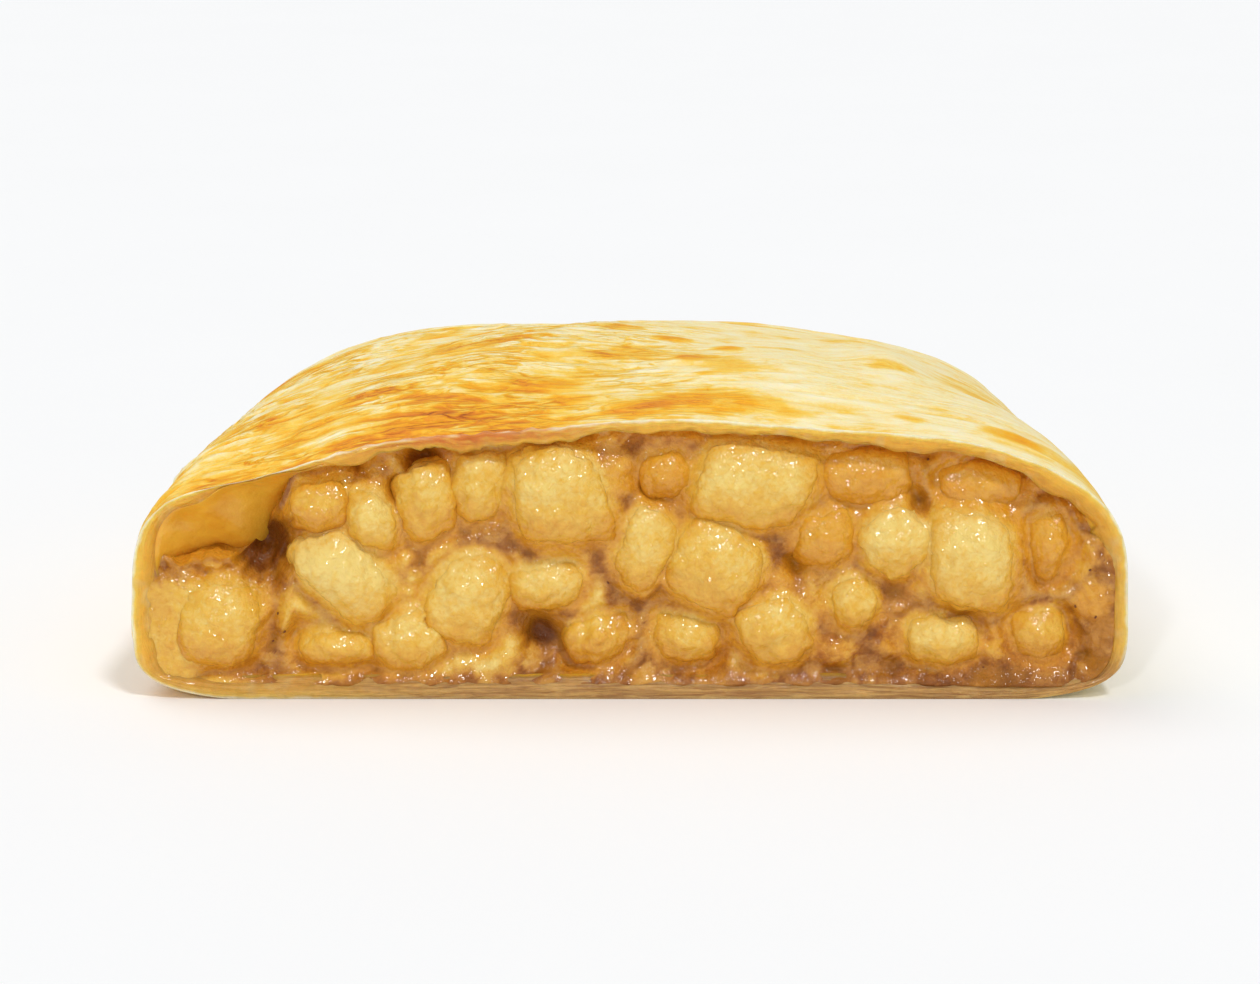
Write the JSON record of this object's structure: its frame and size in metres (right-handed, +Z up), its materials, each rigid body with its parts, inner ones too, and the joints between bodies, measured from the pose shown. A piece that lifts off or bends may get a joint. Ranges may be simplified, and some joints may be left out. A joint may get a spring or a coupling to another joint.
{
  "type": "apple strudel",
  "caption": "Cut end piece of a filled apple strudel: a thin baked dough shell, closed at one end, over a cooked apple filling that shows at the cut.",
  "frame": {"origin": "under the middle of the piece, on the surface it stands on", "axes": "+X to the right across the cut face, +Y from the cut towards the closed end, +Z up; the cut face looks along -Y"},
  "size_m": [0.1, 0.0752, 0.0314],
  "materials": {
    "baked_dough": "pale golden baked strudel dough with browned streaks, slightly shiny",
    "filling": "moist, glossy cooked-down apple filling with cinnamon",
    "apple_flesh": "soft cooked apple dice, moist and slightly see-through"
  },
  "bodies": {
    "root": {"dough_shell": "baked_dough", "apple_filling": "filling", "apple_piece_01": "apple_flesh", "apple_piece_02": "apple_flesh", "apple_piece_03": "apple_flesh", "apple_piece_04": "apple_flesh", "apple_piece_05": "apple_flesh", "apple_piece_06": "apple_flesh", "apple_piece_07": "apple_flesh", "apple_piece_08": "apple_flesh", "apple_piece_09": "apple_flesh", "apple_piece_10": "apple_flesh", "apple_piece_11": "apple_flesh", "apple_piece_12": "apple_flesh", "apple_piece_13": "apple_flesh", "apple_piece_14": "apple_flesh", "apple_piece_15": "apple_flesh", "apple_piece_16": "apple_flesh", "apple_piece_17": "apple_flesh", "apple_piece_18": "apple_flesh", "apple_piece_19": "apple_flesh", "apple_piece_20": "apple_flesh", "apple_piece_21": "apple_flesh", "apple_piece_22": "apple_flesh", "apple_piece_23": "apple_flesh", "apple_piece_24": "apple_flesh", "apple_piece_25": "apple_flesh", "apple_piece_26": "apple_flesh", "apple_piece_27": "apple_flesh"}
  },
  "joints": []
}
